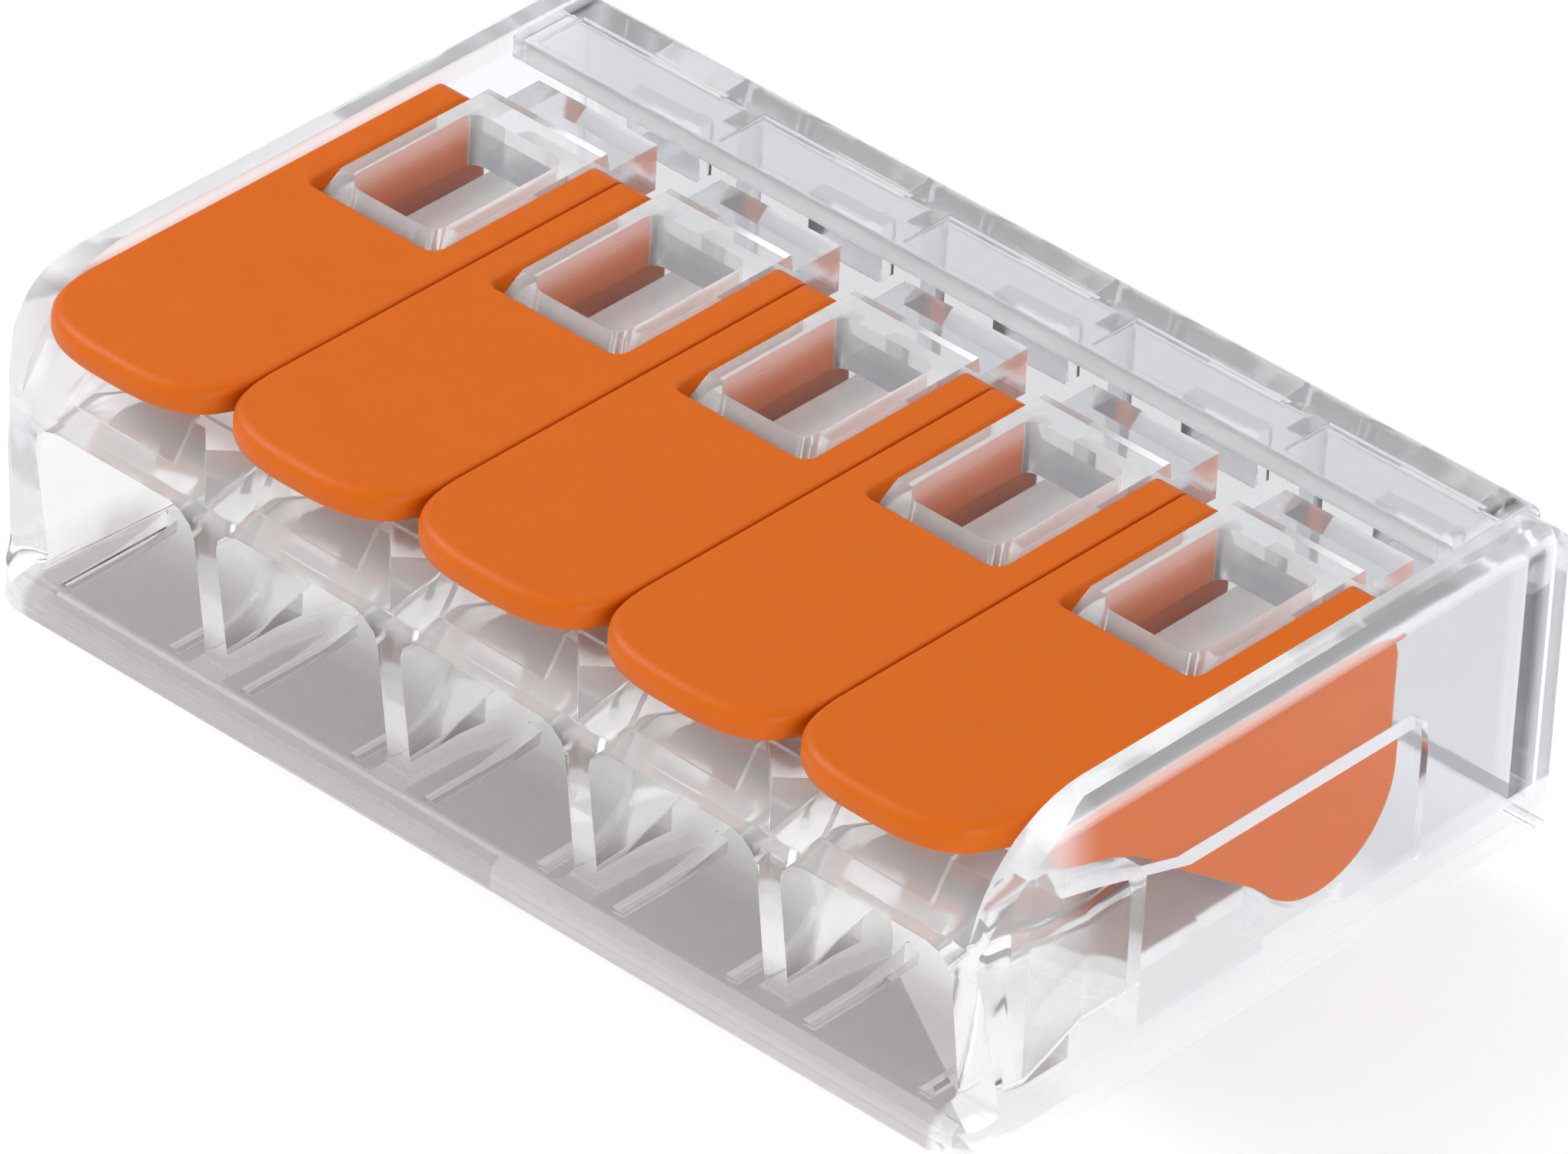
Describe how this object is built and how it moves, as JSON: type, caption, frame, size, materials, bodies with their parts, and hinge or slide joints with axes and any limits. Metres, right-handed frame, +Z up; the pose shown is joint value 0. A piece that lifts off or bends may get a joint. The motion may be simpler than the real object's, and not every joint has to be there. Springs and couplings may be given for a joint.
{
  "type": "lever wire connector",
  "caption": "Clear splicing connector with a row of wire entries at the front and an orange clamping lever over each.",
  "frame": {"origin": "centre of the underside", "axes": "+X along the row of poles, -Y out of the wire entries, +Z up through the levers"},
  "size_m": [0.0298, 0.0186, 0.0084],
  "materials": {
    "clear_polycarbonate": "clear, glossy",
    "orange_lever": "satin, fine grain",
    "tinned_copper": "tin plated, dull",
    "spring_steel": "satin"
  },
  "bodies": {
    "base": {"housing": "clear_polycarbonate", "rear_cover": "clear_polycarbonate", "busbar": "tinned_copper", "clamp_spring_1": "spring_steel", "clamp_spring_2": "spring_steel", "clamp_spring_3": "spring_steel", "clamp_spring_4": "spring_steel", "clamp_spring_5": "spring_steel"},
    "lever_1_body": {"lever_1": "orange_lever"},
    "leg_1_body": {"clamp_leg_1": "spring_steel"},
    "lever_2_body": {"lever_2": "orange_lever"},
    "leg_2_body": {"clamp_leg_2": "spring_steel"},
    "lever_3_body": {"lever_3": "orange_lever"},
    "leg_3_body": {"clamp_leg_3": "spring_steel"},
    "lever_4_body": {"lever_4": "orange_lever"},
    "leg_4_body": {"clamp_leg_4": "spring_steel"},
    "lever_5_body": {"lever_5": "orange_lever"},
    "leg_5_body": {"clamp_leg_5": "spring_steel"}
  },
  "joints": [
    {"name": "lever_1_pivot", "type": "hinge", "parent": "base", "child": "lever_1_body", "pos_m": [-0.0112, 0.00235, 0.00375], "axis": [-1, 0, 0], "range_deg": [0, 80]},
    {"name": "clamp_leg_1_flex", "type": "hinge", "parent": "base", "child": "leg_1_body", "pos_m": [-0.0112, 0.00415, 0.00488], "axis": [-1, 0, 0], "range_deg": [0, 28]},
    {"name": "lever_2_pivot", "type": "hinge", "parent": "base", "child": "lever_2_body", "pos_m": [-0.0056, 0.00235, 0.00375], "axis": [-1, 0, 0], "range_deg": [0, 80]},
    {"name": "clamp_leg_2_flex", "type": "hinge", "parent": "base", "child": "leg_2_body", "pos_m": [-0.0056, 0.00415, 0.00488], "axis": [-1, 0, 0], "range_deg": [0, 28]},
    {"name": "lever_3_pivot", "type": "hinge", "parent": "base", "child": "lever_3_body", "pos_m": [0, 0.00235, 0.00375], "axis": [-1, 0, 0], "range_deg": [0, 80]},
    {"name": "clamp_leg_3_flex", "type": "hinge", "parent": "base", "child": "leg_3_body", "pos_m": [0, 0.00415, 0.00488], "axis": [-1, 0, 0], "range_deg": [0, 28]},
    {"name": "lever_4_pivot", "type": "hinge", "parent": "base", "child": "lever_4_body", "pos_m": [0.0056, 0.00235, 0.00375], "axis": [-1, 0, 0], "range_deg": [0, 80]},
    {"name": "clamp_leg_4_flex", "type": "hinge", "parent": "base", "child": "leg_4_body", "pos_m": [0.0056, 0.00415, 0.00488], "axis": [-1, 0, 0], "range_deg": [0, 28]},
    {"name": "lever_5_pivot", "type": "hinge", "parent": "base", "child": "lever_5_body", "pos_m": [0.0112, 0.00235, 0.00375], "axis": [-1, 0, 0], "range_deg": [0, 80]},
    {"name": "clamp_leg_5_flex", "type": "hinge", "parent": "base", "child": "leg_5_body", "pos_m": [0.0112, 0.00415, 0.00488], "axis": [-1, 0, 0], "range_deg": [0, 28]}
  ],
  "couplings": [
    {"joint": "clamp_leg_1_flex", "follows": "lever_1_pivot", "ratio": 0.35},
    {"joint": "clamp_leg_2_flex", "follows": "lever_2_pivot", "ratio": 0.35},
    {"joint": "clamp_leg_3_flex", "follows": "lever_3_pivot", "ratio": 0.35},
    {"joint": "clamp_leg_4_flex", "follows": "lever_4_pivot", "ratio": 0.35},
    {"joint": "clamp_leg_5_flex", "follows": "lever_5_pivot", "ratio": 0.35}
  ]
}
